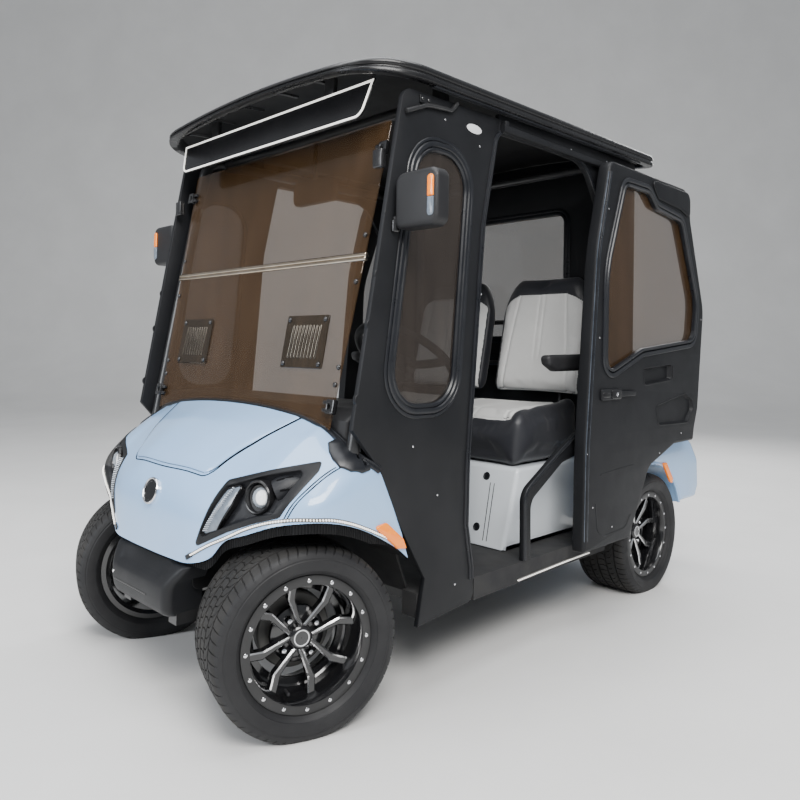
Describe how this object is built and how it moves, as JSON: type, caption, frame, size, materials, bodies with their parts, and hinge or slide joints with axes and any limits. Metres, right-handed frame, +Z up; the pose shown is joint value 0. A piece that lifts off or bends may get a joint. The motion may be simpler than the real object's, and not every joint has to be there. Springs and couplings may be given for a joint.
{
  "type": "golf cart with hard cab",
  "caption": "Low two-seat utility car with a hard cab, sliding side doors, arched roof and wide tyres on deep rims.",
  "frame": {"origin": "on the ground, under the middle of the whole cart", "axes": "+Z up, front of the cart towards -Y, driver's side towards +X"},
  "size_m": [1.428, 2.4005, 1.7619],
  "materials": {
    "body_paint": "gloss pale blue-white",
    "cab_black": "grained black moulding",
    "roof_black": "satin black",
    "visor_black": "dark with white edge",
    "frame_black": "satin powder coat",
    "dash_black": "matt",
    "mirror_black": "matt",
    "tinted_glass": "bronze tint",
    "headlight": "black bezel, clear lamp",
    "amber_lens": "amber lens",
    "red_lens": "red lens",
    "bright_metal": "polished",
    "drive_metal": "painted casting",
    "seat_vinyl": "light centre, black sides",
    "arm_foam": "soft grained",
    "rim_black": "gloss black with machined edges",
    "tyre": "matt rubber"
  },
  "bodies": {
    "cart": {"chassis_frame": "frame_black", "floor_pan": "cab_black", "front_cowl": "body_paint", "hood_panel": "body_paint", "headlights": "headlight", "marker_lamps": "amber_lens", "front_bumper": "cab_black", "windshield": "tinted_glass", "windshield_fittings": "bright_metal", "pillar_frame": "frame_black", "side_panel_left": "cab_black", "side_panel_right": "cab_black", "side_windows": "tinted_glass", "door_frames": "cab_black", "roof": "roof_black", "visor": "visor_black", "rear_panel": "cab_black", "rear_window": "tinted_glass", "seat_base": "body_paint", "seat_backs": "seat_vinyl", "seat_frame": "frame_black", "arm_rests": "arm_foam", "dashboard": "dash_black", "pedals": "frame_black", "rear_body": "body_paint", "rear_bumper": "frame_black", "tail_lamps": "red_lens", "rear_drive": "drive_metal", "front_axle": "frame_black", "mirrors": "mirror_black"},
    "steer_left": {"knuckle_left": "drive_metal"},
    "steer_right": {"knuckle_right": "drive_metal"},
    "tie_rod": {"tie_rod": "drive_metal"},
    "wheel_front_left": {"tyre_front_left": "tyre", "rim_front_left": "rim_black"},
    "wheel_front_right": {"tyre_front_right": "tyre", "rim_front_right": "rim_black"},
    "wheel_rear_left": {"tyre_rear_left": "tyre", "rim_rear_left": "rim_black"},
    "wheel_rear_right": {"tyre_rear_right": "tyre", "rim_rear_right": "rim_black"},
    "door_left": {"door_left": "cab_black", "door_window_left": "tinted_glass"},
    "door_right": {"door_right": "cab_black", "door_window_right": "tinted_glass"},
    "seat_lid": {"seat_cushion": "seat_vinyl"},
    "steering_wheel": {"steering_wheel": "arm_foam"}
  },
  "joints": [
    {"name": "steer_left", "type": "hinge", "parent": "cart", "child": "steer_left", "pos_m": [0.368, -0.947, 0.2385], "axis": [0, 0, 1], "range_deg": [-11.5, 48.5]},
    {"name": "steer_right", "type": "hinge", "parent": "cart", "child": "steer_right", "pos_m": [-0.368, -0.947, 0.2385], "axis": [0, 0, 1], "range_deg": [-11.5, 48.5]},
    {"name": "tie_rod", "type": "slide", "parent": "cart", "child": "tie_rod", "axis": [-1, 0, 0], "range_m": [-0.01555, 0.06399]},
    {"name": "steering_wheel", "type": "hinge", "parent": "cart", "child": "steering_wheel", "pos_m": [0.235, -0.395, 0.925], "axis": [0, 0.6157, 0.788], "range_deg": [-138, 582]},
    {"name": "wheel_front_left", "type": "hinge", "parent": "steer_left", "child": "wheel_front_left", "pos_m": [0.41068, -0.96128, 0.2385], "axis": [0.9483, -0.3173, 0], "continuous": true},
    {"name": "wheel_front_right", "type": "hinge", "parent": "steer_right", "child": "wheel_front_right", "pos_m": [-0.40998, -0.9308, 0.2385], "axis": [-0.933, 0.36, 0], "continuous": true},
    {"name": "wheel_rear_left", "type": "hinge", "parent": "cart", "child": "wheel_rear_left", "pos_m": [0.4558, 0.693, 0.2385], "axis": [1, 0, 0], "continuous": true},
    {"name": "wheel_rear_right", "type": "hinge", "parent": "cart", "child": "wheel_rear_right", "pos_m": [-0.4558, 0.693, 0.2385], "axis": [-1, 0, 0], "continuous": true},
    {"name": "door_left_slide", "type": "slide", "parent": "cart", "child": "door_left", "axis": [0, -1, 0], "range_m": [0, 0.5]},
    {"name": "door_right_slide", "type": "slide", "parent": "cart", "child": "door_right", "axis": [0, -1, 0], "range_m": [0, 0.5]},
    {"name": "seat_tip", "type": "hinge", "parent": "cart", "child": "seat_lid", "pos_m": [0, -0.072, 0.5653], "axis": [1, 0, 0], "range_deg": [0, 50]}
  ],
  "couplings": [
    {"joint": "steer_right", "follows": "steer_left", "ratio": 1},
    {"joint": "tie_rod", "follows": "steer_left", "m_per_rad": 0.075},
    {"joint": "steering_wheel", "follows": "steer_left", "ratio": 12}
  ]
}
